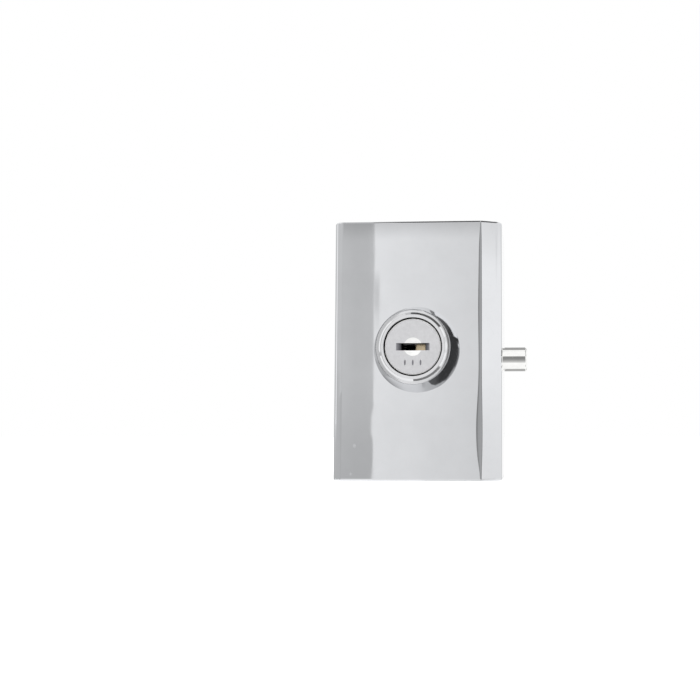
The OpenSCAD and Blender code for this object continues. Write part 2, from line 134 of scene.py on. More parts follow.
class LockFinish(bpy.types.PropertyGroup):
    """Colours of the finishes."""

    chrome: colour("Chrome", "Polished chrome of the case", (0.795, 0.805, 0.825))
    collar: colour("Collar", "Bright chrome of the cylinder's collar", (0.83, 0.835, 0.85))
    plug: colour("Plug", "Satin nickel of the plug's face", (0.70, 0.70, 0.715))
    # The dish colour is near white partly as a painted reflection, and it is also the painted highlight on
    # the plug's rim chamfer
    dish: colour("Dish", "Bright turned centre of the plug's face", (0.93, 0.93, 0.92))
    bolt: colour("Bolt", "Polished nickel of the bolt", (0.97, 0.97, 0.955))
    zinc: colour("Zinc", "Bare zinc casting", (0.50, 0.51, 0.52))
    steel: colour("Steel", "Zinc-plated steel", (0.60, 0.61, 0.62))
    spring: colour("Spring steel", "Oiled spring steel", (0.36, 0.37, 0.39))
    brass: colour("Brass", "Stamped brass of the wafers", (0.79, 0.65, 0.445))
    vinyl: colour("Vinyl", "Soft black vinyl of the pads", (0.022, 0.022, 0.024))
    oxide: colour("Black oxide", "Blackened screws", (0.055, 0.055, 0.06))


class LockStage(bpy.types.PropertyGroup):
    """Camera and light."""

    camera_right: length("Camera right", "Place of the camera right of the cylinder's axis", 24.0)
    camera_below: length("Camera below", "Place of the camera below the cylinder's axis", 18.5)
    camera_away: length("Camera away", "Distance of the camera from the front of the case", 200.0)
    frame_width: length("Frame width", "Width of the picture at the front of the case", 151.6)
    camera_turn: slant("Camera turn", "Turn of the camera to the left", 3.164)
    camera_tilt: slant("Camera tilt", "Tilt of the camera upwards", 3.727)
    frame_left: share("Frame left", "Shift of the picture to the left, in picture widths", 0.18)
    frame_up: share("Frame up", "Shift of the picture upwards, in picture widths", 0.035)
    ambient: share("Ambient", "Strength of the even light", 0.85)


# Meshes


def put(name, data):
    """A new object in the scene."""
    made = bpy.data.objects.new(name, data)
    bpy.context.scene.collection.objects.link(made)
    return made


def link(name, mesh, body, slot, node):
    """Makes a mesh a piece that stands for a CAD node, rides on a body and has a slot's finish."""
    piece = put(name, mesh)
    if not mesh.materials:
        mesh.materials.append(finish_for(slot))
    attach(piece, body)
    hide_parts(node)


def finish_mesh(name, bm, sharp_deg=35.0):
    """Turns a bmesh into a smooth mesh that is sharp only at its real edges."""
    bmesh.ops.remove_doubles(bm, verts=bm.verts, dist=1e-7)
    bmesh.ops.recalc_face_normals(bm, faces=bm.faces)
    limit = math.radians(sharp_deg)
    for face in bm.faces:
        face.smooth = True
    for edge in bm.edges:
        edge.smooth = edge.is_manifold and edge.calc_face_angle(math.pi) < limit
    mesh = bpy.data.meshes.new(name)
    bm.to_mesh(mesh)
    bm.free()
    shaded = bpy.data.objects.new(name, mesh)
    weigh = shaded.modifiers.new("flat faces stay flat", "WEIGHTED_NORMAL")
    weigh.keep_sharp = True
    return applied(shaded)


def applied(piece):
    """The mesh of a loose object with its modifiers applied; the object itself is removed."""
    bpy.context.scene.collection.objects.link(piece)
    depsgraph = bpy.context.evaluated_depsgraph_get()
    mesh = bpy.data.meshes.new_from_object(piece.evaluated_get(depsgraph))
    bpy.data.objects.remove(piece)
    return mesh


def skin_rings(bm, rings, closed_rings=True, closed_path=False):
    """Joins rings of points into a tube; the rings, and the path that they follow, may each be closed."""
    made = [[bm.verts.new(point) for point in ring] for ring in rings]
    count = len(made[0])
    pairs = list(zip(made, made[1:]))
    if closed_path:
        pairs.append((made[-1], made[0]))
    for here, there in pairs:
        for k in range(count if closed_rings else count - 1):
            n = (k + 1) % count
            bm.faces.new((here[k], here[n], there[n], there[k]))
    return made


def turn(profile, segments):
    """A round body about the Y axis, from a profile of (radius, y)."""
    rings = []
    for i in range(segments):
        a = 2 * math.pi * i / segments
        rings.append([(r * math.cos(a), y, r * math.sin(a)) for r, y in profile])
    bm = bmesh.new()
    skin_rings(bm, rings, closed_rings=False, closed_path=True)
    return bm


def round_corner(before, corner, after, radius, steps):
    """Points that round off one corner of a flat profile."""
    corner = Vector(corner)
    to_before = (Vector(before) - corner).normalized()
    to_after = (Vector(after) - corner).normalized()
    half = to_before.angle(to_after) / 2
    reach = radius / math.tan(half)
    middle = corner + (to_before + to_after).normalized() * (radius / math.sin(half))
    start = corner + to_before * reach - middle
    end = corner + to_after * reach - middle
    sweep = start.angle(end)
    points = []
    for k in range(steps + 1):
        t = k / steps
        w0 = math.sin((1 - t) * sweep) / math.sin(sweep)
        w1 = math.sin(t * sweep) / math.sin(sweep)
        points.append(tuple(middle + start * w0 + end * w1))
    return points


def rounded(profile, radii, steps):
    """A profile whose inner corners are rounded; radii holds one radius per corner, 0 for a sharp one."""
    points = [profile[0]]
    for before, corner, after, radius in zip(profile, profile[1:], profile[2:], radii):
        points += round_corner(before, corner, after, radius, steps) if radius > 0 else [corner]
    points.append(profile[-1])
    return points


def worn_copy(node, name, bevel=0.0, segments=2):
    """A copy of a CAD node's mesh with its sharp edges eased, ready for a finish."""
    weld = 2e-6
    flat_to, sharp_from = math.radians(0.5), math.radians(30.0)
    bm = bmesh.new()
    bm.from_mesh(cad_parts[node].data)
    bmesh.ops.remove_doubles(bm, verts=bm.verts, dist=weld)
    bmesh.ops.dissolve_limit(
        bm, angle_limit=flat_to, verts=bm.verts, edges=bm.edges, use_dissolve_boundaries=False
    )
    if bevel > 0:
        sharp = [e for e in bm.edges if e.is_manifold and e.calc_face_angle(0.0) > sharp_from]
        bmesh.ops.bevel(
            bm, geom=sharp, offset=bevel, segments=segments, profile=0.5, affect="EDGES", clamp_overlap=True
        )
    return finish_mesh(name, bm)


def dress(node, name, slot, body, bevel_mm, segments=2):
    """Makes a piece as a copy of a CAD node with its sharp edges eased."""
    link(name, worn_copy(node, name + "_skin", bevel_mm * MM, segments), body, slot, node)


def cut(mesh, cutters):
    """Cuts holes: cutters is a list of bmeshes, each a closed body."""
    target = bpy.data.objects.new("cutting", mesh)
    tools = []
    for bm in cutters:
        bmesh.ops.recalc_face_normals(bm, faces=bm.faces)
        tool_mesh = bpy.data.meshes.new("cutter")
        bm.to_mesh(tool_mesh)
        bm.free()
        tools.append(put("cutter", tool_mesh))
        modifier = target.modifiers.new("hole", "BOOLEAN")
        modifier.operation = "DIFFERENCE"
        modifier.solver = "EXACT"
        modifier.object = tools[-1]
    result = applied(target)
    for tool in tools:
        bpy.data.objects.remove(tool)
    return result


def rod(start, end, radius, segments=64):
    """A closed cylinder between two points, as a bmesh."""
    start, end = Vector(start), Vector(end)
    along = end - start
    side = along.orthogonal().normalized()
    up = along.normalized().cross(side)
    angles = [2 * math.pi * k / segments for k in range(segments)]
    bm = bmesh.new()
    made = skin_rings(bm, [
        [foot + radius * (math.cos(a) * side + math.sin(a) * up) for a in angles] for foot in (start, end)
    ])
    bm.faces.new(reversed(made[0]))
    bm.faces.new(made[1])
    return bm


def egg(centre, radii):
    """A closed egg shape, as a bmesh."""
    bm = bmesh.new()
    bmesh.ops.create_uvsphere(bm, u_segments=20, v_segments=10, radius=1.0)
    for vert in bm.verts:
        vert.co = Vector([c + r * v for c, r, v in zip(centre, radii, vert.co)])
    return bm


# Materials


class Nodes:
    """A node tree that is built up node by node."""

    def __init__(self, owner, fresh=False):
        owner.use_nodes = True
        self.tree = owner.node_tree
        self.spot = None
        if fresh:
            self.tree.nodes.clear()

    def node(self, kind, sockets=None, **settings):
        """A new node with the given values on its sockets, and the given settings."""
        made = self.tree.nodes.new(kind)
        for key, value in settings.items():
            setattr(made, key, value)
        for key, value in (sockets or {}).items():
            made.inputs[key].default_value = value
        return made

    def wire(self, source, target):
        self.tree.links.new(source, target)

    def place(self):
        """Coordinates on the piece, in metres."""
        self.spot = self.spot or self.node("ShaderNodeTexCoord")
        return self.spot.outputs["Object"]

    def along(self, axis, low, high):
        """Goes from 0 to 1 between two places along an axis."""
        split = self.node("ShaderNodeSeparateXYZ")
        self.wire(self.place(), split.inputs["Vector"])
        span = self.node("ShaderNodeMapRange", {"From Min": low, "From Max": high})
        self.wire(split.outputs[axis], span.inputs["Value"])
        return span.outputs["Result"]

    def ramp(self, source, *stops):
        """A colour ramp; each stop is a place and a grey or a colour."""
        made = self.node("ShaderNodeValToRGB")
        band = made.color_ramp
        while len(band.elements) < len(stops):
            band.elements.new(0.5)
        for element, (at, value) in zip(band.elements, stops):
            tint = (value, value, value) if isinstance(value, (int, float)) else tuple(value)
            element.position = at
            element.color = (*tint, 1.0)
        self.wire(source, made.inputs["Fac"])
        return made.outputs["Color"]

    def math(self, operation, a, b):
        """A math node of two sockets or numbers."""
        made = self.node("ShaderNodeMath", operation=operation)
        for value, socket in zip((a, b), made.inputs):
            if isinstance(value, (int, float)):
                socket.default_value = value
            else:
                self.wire(value, socket)
        return made.outputs["Value"]

    def either(self, factor, a, b):
        """Shader a where the factor is 0, and b where it is 1."""
        made = self.node("ShaderNodeMixShader")
        for source, socket in zip((factor, a.outputs[0], b.outputs[0]), made.inputs):
            self.wire(source, socket)
        return made.outputs[0]


class Finish(Nodes):
    """A procedural material around one shader."""

    def __init__(self, name, metallic):
        self.material = bpy.data.materials.new(name)
        super().__init__(self.material)
        self.shader = self.tree.nodes["Principled BSDF"]
        self.shader.inputs["Metallic"].default_value = metallic

    def stretched(self, scale):
        """Coordinates in millimetres, scaled per axis."""
        mapping = self.node("ShaderNodeMapping", {"Scale": [1000 * s for s in scale]})
        self.wire(self.place(), mapping.inputs["Vector"])
        return mapping.outputs["Vector"]

    def grain(self, scale, detail=3.0, rough=0.55, along=(1, 1, 1), distort=0.0):
        """Noise with scale given per millimetre."""
        sockets = {"Scale": scale, "Detail": detail, "Roughness": rough, "Distortion": distort}
        made = self.node("ShaderNodeTexNoise", sockets)
        self.wire(self.stretched(along), made.inputs["Vector"])
        return made.outputs["Fac"]

    def rings(self, scale, distort=0.0):
        """Fine turning rings about the Y axis."""
        sockets = {"Scale": scale, "Distortion": distort}
        made = self.node("ShaderNodeTexWave", sockets, wave_type="RINGS", rings_direction="Y")
        self.wire(self.stretched((1, 1, 1)), made.inputs["Vector"])
        return made.outputs["Fac"]

    def tone(self, source, base, *stops):
        """A ramp of one colour; each stop is a place and a factor."""
        return self.ramp(source, *[(at, shade(base, factor)) for at, factor in stops])

    def mix(self, factor, under, over):
        """A colour laid over another socket's colour."""
        made = self.node("ShaderNodeMix", data_type="RGBA")
        self.wire(factor, made.inputs["Factor"])
        self.wire(under, made.inputs["A"])
        made.inputs["B"].default_value = (*over, 1.0)
        return made.outputs["Result"]

    def bump(self, height, strength, depth_mm, under=None):
        """Fine relief on the surface."""
        made = self.node("ShaderNodeBump", {"Strength": strength, "Distance": depth_mm * MM})
        self.wire(height, made.inputs["Height"])
        if under is not None:
            self.wire(under, made.inputs["Normal"])
        return made.outputs["Normal"]

    def use(self, base, roughness, normal):
        """Wires what varies into the shader."""
        for source, name in ((base, "Base Color"), (roughness, "Roughness"), (normal, "Normal")):
            self.wire(source, self.shader.inputs[name])
        return self.material


def shade(base, factor):
    """A colour made lighter or darker."""
    return tuple(min(1.0, c * factor) for c in base)


def case_chrome(look):
    """Polished chrome with faint haze, hairlines and a few light handling specks low on the left."""
    f = Finish("case_chrome", 1.0)
    haze = f.grain(0.16, detail=4.0, rough=0.6)
    smear = f.grain(0.5, detail=2.0, along=(1.0, 1.0, 0.25))
    cells = f.node("ShaderNodeTexVoronoi", {"Scale": 0.42}, feature="F1")
    f.wire(f.stretched((1.0, 1.0, 0.8)), cells.inputs["Vector"])
    speck = f.ramp(cells.outputs["Distance"], (0.0, 0.5), (0.12, 0.32), (0.2, 0.0))
    # The specks keep to the left, low, on the front, and to some of the cells
    for limit in (
        f.along("X", -9.5 * MM, -15.0 * MM),
        f.along("Z", -4.0 * MM, -18.0 * MM),
        f.along("Y", FRONT_Y + 2.4 * MM, FRONT_Y + 1.2 * MM),
        f.ramp(f.grain(0.3, detail=1.0), (0.48, 0.0), (0.56, 1.0)),
    ):
        speck = f.math("MULTIPLY", speck, limit)
    base = f.tone(haze, look.chrome, (0.3, 0.975), (0.7, 1.02))
    base = f.mix(speck, base, shade(look.chrome, 1.12))
    rough = f.ramp(smear, (0.35, 0.018), (0.75, 0.045))
    rough = f.math("ADD", rough, f.math("MULTIPLY", speck, 0.35))
    hairlines = f.grain(2.2, detail=2.0, along=(0.08, 1.0, 1.0), distort=0.4)
    return f.use(base, rough, f.bump(hairlines, 0.012, 0.004))


def collar_chrome(look):
    """Bright turned chrome."""
    f = Finish("collar_chrome", 1.0)
    base = f.tone(f.grain(0.5), look.collar, (0.3, 0.97), (0.7, 1.01))
    rough = f.ramp(f.grain(0.8, detail=4.0), (0.3, 0.04), (0.8, 0.1))
    return f.use(base, rough, f.bump(f.grain(1.4, detail=3.0), 0.05, 0.006))


def plug_satin(look):
    """Satin nickel: a fine blasted grain with faint facing rings."""
    f = Finish("plug_satin", 0.3)
    base = f.tone(f.grain(1.3, detail=6.0, rough=0.7), look.plug, (0.25, 0.90), (0.75, 1.05))
    rough = f.ramp(f.grain(3.0, detail=2.0), (0.3, 0.38), (0.7, 0.52))
    grain = f.bump(f.grain(7.0, detail=3.0, rough=0.65), 0.35, 0.012)
    return f.use(base, rough, f.bump(f.rings(1.1, 0.6), 0.08, 0.004, grain))


def keyway_shade(look):
    """The walls of the keyway, in painted shade: grey at the mouth, near black further in."""
    f = Finish("keyway_shade", 0.4)
    shade_wobble = f.math("MULTIPLY", f.grain(2.0, detail=4.0), 0.3)
    depth = f.along("Y", FACE_Y, FACE_Y + 1.3 * MM)
    deep = f.math("ADD", depth, f.math("SUBTRACT", shade_wobble, 0.15))
    # Painted shade by depth: grey at the mouth of the keyway, near black further in, with a noisy edge
    mouth_grey, dull, deep_shade = (0.37, 0.37, 0.395), (0.18, 0.18, 0.20), (0.004, 0.004, 0.004)
    base = f.ramp(deep, (0.0, mouth_grey), (0.55, dull), (0.85, deep_shade))
    rough = f.ramp(f.grain(3.0), (0.3, 0.4), (0.7, 0.6))
    return f.use(base, rough, f.bump(f.grain(4.0), 0.2, 0.01))


def gap_shade(look):
    """The narrow gap around the plug, in painted shade: near black."""
    f = Finish("gap_shade", 0.0)
    base = f.ramp(f.grain(2.0), (0.3, (0.010, 0.010, 0.011)), (0.7, (0.022, 0.022, 0.023)))
    rough = f.ramp(f.grain(3.0), (0.3, 0.6), (0.7, 0.8))
    return f.use(base, rough, f.bump(f.grain(4.0), 0.1, 0.01))


def plug_dish(look):
    """The bright turned dish at the middle of the plug's face, near white: partly its own finish, partly a
    painted reflection; the same colour is a painted highlight on the plug's rim chamfer.
    """
    f = Finish("plug_dish", 0.1)
    base = f.tone(f.grain(2.5), look.dish, (0.3, 0.97), (0.7, 1.03))
    rough = f.ramp(f.grain(4.0), (0.3, 0.3), (0.7, 0.42))
    return f.use(base, rough, f.bump(f.rings(3.0), 0.1, 0.003))


def bolt_nickel(look):
    """Polished nickel with faint drawn lines along the bolt."""
    f = Finish("bolt_nickel", 1.0)
    base = f.tone(f.grain(0.7), look.bolt, (0.3, 0.95), (0.7, 1.03))
    lines = f.grain(2.6, detail=2.0, along=(0.06, 1.0, 1.0))
    rough = f.ramp(lines, (0.3, 0.02), (0.75, 0.06))
    return f.use(base, rough, f.bump(lines, 0.02, 0.006))


def zinc_cast(look):
    """Bare zinc casting with a fine pebbled skin and dull patches."""
    f = Finish("zinc_cast", 0.9)
    base = f.tone(f.grain(0.35, detail=5.0), look.zinc, (0.3, 0.82), (0.7, 1.12))
    rough = f.ramp(f.grain(0.9, detail=3.0), (0.3, 0.38), (0.75, 0.58))
    return f.use(base, rough, f.bump(f.grain(2.2, detail=5.0, rough=0.7), 0.3, 0.03))


def plated_steel(look):
    """Zinc-plated steel with a soft mill grain."""
    f = Finish("plated_steel", 1.0)
    base = f.tone(f.grain(0.45, detail=4.0, distort=0.6), look.steel, (0.3, 0.85), (0.7, 1.15))
    lines = f.grain(1.6, detail=3.0, along=(1.0, 1.0, 0.07))
    rough = f.ramp(lines, (0.3, 0.24), (0.75, 0.42))
    return f.use(base, rough, f.bump(lines, 0.12, 0.008))


def spring_steel(look):
    """Dark oiled spring steel."""
    f = Finish("spring_steel", 1.0)
    base = f.tone(f.grain(0.8, detail=4.0), look.spring, (0.3, 0.8), (0.7, 1.2))
    rough = f.ramp(f.grain(1.5), (0.3, 0.22), (0.7, 0.36))
    return f.use(base, rough, f.bump(f.grain(3.0, detail=3.0), 0.1, 0.006))


def wafer_brass(look):
    """Stamped brass, a little tarnished."""
    f = Finish("wafer_brass", 0.8)
    base = f.tone(f.grain(1.2, detail=4.0), look.brass, (0.25, 0.8), (0.6, 1.0), (0.85, 1.15))
    rough = f.ramp(f.grain(2.0), (0.3, 0.18), (0.7, 0.28))
    return f.use(base, rough, f.bump(f.grain(4.0, detail=3.0), 0.15, 0.008))


def pad_vinyl(look):
    """Soft black vinyl with a fine moulded grain and dusty patches."""
    f = Finish("pad_vinyl", 0.0)
    base = f.tone(f.grain(0.25, detail=5.0, rough=0.65), look.vinyl, (0.35, 1.0), (0.8, 2.0))
    rough = f.ramp(f.grain(1.2, detail=4.0), (0.3, 0.52), (0.75, 0.7))
    return f.use(base, rough, f.bump(f.grain(3.5, detail=4.0, rough=0.7), 0.35, 0.03))


def screw_oxide(look):
    """Black-oxide steel with brighter patches of wear."""
    f = Finish("screw_oxide", 0.85)
    wear = f.grain(0.9, detail=5.0, rough=0.65)
    base = f.tone(wear, look.oxide, (0.35, 1.0), (0.62, 1.7), (0.8, 3.5))
    rough = f.ramp(wear, (0.3, 0.42), (0.8, 0.28))
    return f.use(base, rough, f.bump(f.grain(3.0, detail=3.0), 0.2, 0.01))


MAKERS = {
    "case_chrome": case_chrome, "collar_chrome": collar_chrome, "plug_satin": plug_satin,
    "plug_dish": plug_dish, "keyway_shade": keyway_shade, "gap_shade": gap_shade,
    "bolt_nickel": bolt_nickel, "zinc_cast": zinc_cast, "plain_steel": plated_steel,
    "spring_steel": spring_steel, "wafer_brass": wafer_brass, "pad_black": pad_vinyl,
    "screw_black": screw_oxide,
}
_made = {}


def finish_for(slot):
    """The material of a slot, made once."""
    if slot not in _made:
        _made[slot] = MAKERS[slot](bpy.context.scene.lock_finish)
    return _made[slot]


def paint_node(node, slot):
    """Gives a CAD node that stays as it is its finish."""
    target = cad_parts[node]
    target.data.materials.clear()
    target.data.materials.append(finish_for(slot))


# The folded case


def arc_points(centre, radius, start_deg, end_deg, steps):
    """Points and outward normals along an arc, in X and Y."""
    points = []
    for k in range(steps + 1):
        a = math.radians(start_deg + (end_deg - start_deg) * k / steps)
        out = (math.cos(a), math.sin(a))
        points.append(((centre[0] + radius * out[0], centre[1] + radius * out[1]), out))
    return points


def even_steps(steps, run):
    """Places from 0 to 1 along a flat stretch, with one close to each end so that it shades flat."""
    hug = min(0.25 / steps, 0.04 * MM / run)
    return [hug] + [k / steps for k in range(1, steps)] + [1 - hug]


def straight(start, end, out, steps):
    """Points along a flat stretch, without its ends."""
    run = math.dist(start, end)
    return [
        ((start[0] + (end[0] - start[0]) * t, start[1] + (end[1] - start[1]) * t), out)
        for t in even_steps(steps, run)
    ]


def swell(place, centre, spread):
    """Rises softly to 1 around a centre."""
    return math.exp(-(((place - centre) / spread) ** 2))


def soft_bend(z):
    """Width of the soft bend left of the crease: uneven, widest low on the case, and narrow at both ends."""
    low = 0.9 * swell(z, -17.5 * MM, 8.5 * MM)
    middle = 0.26 * swell(z, 9 * MM, 10 * MM)
    ends = 0.66 * swell(abs(z), CASE_HIGH[2], 3.6 * MM)
    return (0.56 + low + middle) * (1 - ends) * MM


def case_path(size, z):
    """The outside of the case's section at one height: points and outward normals."""
    left, right = CASE_LOW[0], CASE_HIGH[0]
    fold = size.fold
    angle = math.atan2(size.slope_drop, size.slope_width)
    degrees = math.degrees(angle)
    tilt = size.crease_tilt
    tight = size.crease
    bend = soft_bend(z)
    crease = right - size.slope_width
    sink = bend * math.tan(tilt) / 2
    # The tight crease is a short arc that ends tangent to the strip
    slope_dir = (math.cos(angle), math.sin(angle))
    slope_out = (math.sin(angle), -math.cos(angle))
    arc_x = tight * (math.sin(angle) - math.sin(tilt))
    arc_y = tight * (math.cos(tilt) - math.cos(angle))
    bend_end = crease - arc_x + (sink + arc_y) / math.tan(angle)
    front_end = bend_end - bend
    centre = (bend_end - tight * math.sin(tilt), FRONT_Y + sink + tight * math.cos(tilt))
    slope_start = (bend_end + arc_x, FRONT_Y + sink + arc_y)
    steep = math.radians(90) - angle
    loss = fold * math.tan(steep / 2)
    corner = (right, FRONT_Y + size.slope_drop)
    slope_end = (corner[0] - loss * slope_dir[0], corner[1] - loss * slope_dir[1])
    path = [((left, PLATE_BACK_Y), (-1, 0))]
    path += straight((left, PLATE_BACK_Y), (left, FRONT_Y + fold), (-1, 0), 6)
    path += arc_points((left + fold, FRONT_Y + fold), fold, 180, 270, 14)
    path += straight((left + fold, FRONT_Y), (front_end, FRONT_Y), (0, -1), 34)
    bend_steps = 8
    for k in range(bend_steps):
        t = k / bend_steps
        turned = tilt * t
        path.append(((front_end + bend * t, FRONT_Y + sink * t * t), (math.sin(turned), -math.cos(turned))))
    path += arc_points(centre, tight, 270 + math.degrees(tilt), 270 + degrees, 6)
    path += straight(slope_start, slope_end, slope_out, 5)
    path += arc_points((right - fold, corner[1] + loss), fold, 270 + degrees, 360, 14)
    path += straight((right, corner[1] + loss), (right, REAR_Y - fold), (1, 0), 10)
    path += arc_points((right - fold, REAR_Y - fold), fold, 0, 90, 14)
    path += straight((right - fold, REAR_Y), (left, REAR_Y), (0, 1), 14)
    path.append(((left, REAR_Y), (0, 1)))
    return path


def front_wave(size, x, z):
    """Soft unevenness of the polished front: low rolling waves, seen only in what it mirrors."""
    place = Vector((x * 55, 3.1, z * 34))
    rolling = noise.noise(place) + 0.35 * noise.noise(place * 2.3)
    return size.waviness * rolling


def case_ring(size, index, inset=0.0, shift=0.0):
    """One closed ring around the sheet at one place along its section."""
    half = CASE_HIGH[2]
    sheet, edge = size.sheet, size.edge_round
    top = half - edge
    back = sheet - edge
    flat = 2 * half - 2 * edge

    def corner(z, depth, *degrees):
        return [(z + edge * math.sin(a), depth - edge * math.cos(a)) for a in map(math.radians, degrees)]

    around = [(-top + flat * t, 0.0) for t in (0.0, *even_steps(56, flat), 1.0)]
    around += corner(top, edge, 22.5, 45, 67.5, 90)
    around += corner(top, back, 90, 120, 150)
    around += [(top - flat * t, sheet) for t in (0.0, *even_steps(8, flat), 1.0)]
    around += corner(-top, back, 210, 240, 270)
    around += corner(-top, edge, 270, 292.5, 315, 337.5)
    ring = []
    for z, depth in around:
        z = max(-half + inset, min(half - inset, z))
        depth = max(inset, min(sheet - inset, depth))
        (x, y), out = case_path(size, z)[index]
        on_front = max(0.0, -out[1])
        lift = front_wave(size, x, z) * on_front - depth
        ring.append((x + out[0] * lift - out[1] * shift, y + out[1] * lift + out[0] * shift, z))
    return ring


def case_mesh(size):
    """The folded case with its rounded edges and its holes."""
    last = len(case_path(size, 0.0)) - 1
    edge = size.edge_round
    eased = [(edge * (1 - math.sin(a)), edge * (1 - math.cos(a))) for a in map(math.radians, (0, 30, 60))]
    rings = [case_ring(size, 0, inset, shift) for inset, shift in eased]
    rings += [case_ring(size, 0, 0.0, edge)]
    rings += [case_ring(size, i) for i in range(1, last)]
    rings += [case_ring(size, last, 0.0, -edge)]
    rings += [case_ring(size, last, inset, -shift) for inset, shift in reversed(eased)]
    bm = bmesh.new()
    made = skin_rings(bm, rings)
    bm.faces.new(made[0])
    bm.faces.new(reversed(made[-1]))
    solid = finish_mesh("case_blank", bm)
    bolt_y = (BOLT_LOW[1] + BOLT_HIGH[1]) / 2
    bolt_z = (BOLT_LOW[2] + BOLT_HIGH[2]) / 2
    right = CASE_HIGH[0]
    through = 2 * size.sheet
    cutters = [
        rod((0, FRONT_Y - MM, 0), (0, FRONT_Y + through, 0), size.barrel_hole / 2, segments=96),
        rod((right - through, bolt_y, bolt_z), (right + MM, bolt_y, bolt_z), size.bolt_hole / 2),
    ]
    for node, hole in (("clamp_screws", size.screw_hole), ("block_rivets", size.rivet_hole)):
        low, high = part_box(node)
        reach = (high[0] - low[0]) / 2
        for z in (low[2] + reach, high[2] - reach):
            cutters.append(rod((0, REAR_Y - through, z), (0, REAR_Y + MM, z), hole / 2))
    bm = bmesh.new()
    bm.from_mesh(cut(solid, cutters))
    return finish_mesh("case_shell_skin", bm)


class LOCK_OT_case(bpy.types.Operator):
    """Makes the folded chrome case"""

    bl_idname = "lock.case"
    bl_label = "Folded case"

    def execute(self, context):
        link("folded_case", case_mesh(context.scene.lock_sizes), "case", "case_chrome", "case_shell")
        return {"FINISHED"}


# The cylinder


def barrel_profile(size):
    """Half the section of the collar and the body behind it, from the bore outwards."""
    foot = BARREL_HIGH[0]
    top = BARREL_LOW[1]
    end = BARREL_HIGH[1]
    rim = size.rim / 2
    slope_foot = rim - size.ledge_width
    ring = slope_foot - size.ledge_drop
    ledge = top + size.ledge_drop
    head_bore = size.head_bore / 2
    bore = size.plug_bore / 2
    body = size.body / 2
    head_back = FACE_Y + size.head_length
    wall_end = FRONT_Y - size.collar_foot
    wall = []
    for part in even_steps(8, 1.0):
        hollow = 4 * size.collar_hollow * part * (1 - part)
        wall.append((rim + (foot - rim) * part - hollow, ledge + (wall_end - ledge) * part))
    corners = [
        (bore, end), (bore, head_back), (head_bore, head_back), (head_bore, top), (ring, top),
        (slope_foot, ledge), (rim, ledge), *wall, (foot, wall_end), (foot, FRONT_Y), (body, FRONT_Y),
        (body, end), (bore, end),
    ]
    edge = size.ring_round
    radii = [0, 0, size.bore_edge, edge, edge, size.rim_round]
    radii += [0] * len(wall) + [size.collar_foot / 2, 0, 0, 0]
    return rounded(corners, radii, 6)


class LOCK_OT_cylinder(bpy.types.Operator):
    """Makes the cylinder with its collar, and finishes the clip that holds it"""

    bl_idname = "lock.cylinder"
    bl_label = "Cylinder"

    def execute(self, context):
        size = context.scene.lock_sizes
        mesh = finish_mesh("barrel_skin", turn(barrel_profile(size), segments=160), sharp_deg=32)
        for slot in ("collar_chrome", "gap_shade"):
            mesh.materials.append(finish_for(slot))
        # Painted shade: the bore's wall around the plug's head takes the near-black gap finish
        bore = size.head_bore / 2 + 0.01 * MM
        bore_from = FACE_Y - 0.1 * MM
        for face in mesh.polygons:
            c = face.center
            face.material_index = int(math.hypot(c.x, c.z) < bore and c.y > bore_from)
        link("cylinder_collar", mesh, "case", "collar_chrome", "barrel")
        paint_node("barrel_clip", "spring_steel")
        return {"FINISHED"}


PLUG_SLOTS = ("plug_satin", "plug_dish", "keyway_shade", "gap_shade")
SATIN, DISH_AND_HIGHLIGHT, RECESS_SHADE, GAP_SHADE = range(len(PLUG_SLOTS))


def plug_finish(size, face):
    """The finish of one face of the plug, by its place and its slope."""
    c = face.center
    out = math.hypot(c.x, c.z)
    depth_mm = (c.y - FACE_Y) / MM
    on_rim = out > PLUG_HIGH[0] - 0.16 * MM
    tilted = -0.9999 < face.normal.y < -0.5
    in_dish = out < size.dish / 2 and depth_mm < 0.4
    in_mouth = abs(c.x) < size.mouth / 2 and abs(c.z) < size.keyway / 2
    in_mark = abs(c.z + size.mark_below) < size.mark_height / 2
    # The dish and the narrow chamfer round the plug's rim take the near-white dish colour: on the dish partly
    # a painted reflection, on the chamfer a painted highlight
    if tilted and (in_dish or on_rim and depth_mm < 0.2):
        return DISH_AND_HIGHLIGHT
    # Painted shade: the keyway's walls take the keyway's shade finish
    if in_mouth and depth_mm > 0.02:
        return RECESS_SHADE
    # Painted shade: the side of the plug's head, in the gap, takes the near-black gap finish
    if on_rim and not tilted:
        return GAP_SHADE
    # Painted shade in the hollows of the punch marks
    return RECESS_SHADE if in_mark and 0.01 < depth_mm < 0.3 else SATIN


class LOCK_OT_plug(bpy.types.Operator):
    """Makes the plug with its dished face, and finishes its wafers and springs"""

    bl_idname = "lock.plug"
    bl_label = "Plug and wafers"

    def execute(self, context):
        size = context.scene.lock_sizes
        mark = (0.2 * MM, 0.2 * MM, size.mark_height / 2)
        marks = [egg((k * size.mark_gap, FACE_Y, -size.mark_below), mark) for k in (-1, 0, 1)]
        bm = bmesh.new()
        bm.from_mesh(cut(worn_copy("plug", "plug_blank"), marks))
        mesh = finish_mesh("plug_skin", bm)
        for slot in PLUG_SLOTS:
            mesh.materials.append(finish_for(slot))
        for face in mesh.polygons:
            face.material_index = plug_finish(size, face)
        link("plug_body", mesh, "plug", "plug_satin", "plug")
        dress("wafer_tumblers", "wafers", "wafer_brass", "plug", 0.04)
        paint_node("wafer_springs", "spring_steel")
        return {"FINISHED"}


class LOCK_OT_crank(bpy.types.Operator):
    """Finishes the crank on the plug's tail"""

    bl_idname = "lock.crank"
    bl_label = "Crank"

    def execute(self, context):
        dress("crank_disc", "crank_plate", "plain_steel", "plug", 0.06)
        dress("crank_pin", "crank_stud", "plain_steel", "plug", 0.06)
        dress("crank_screw", "crank_fixing", "screw_black", "plug", 0.06)
        return {"FINISHED"}


# The bolt


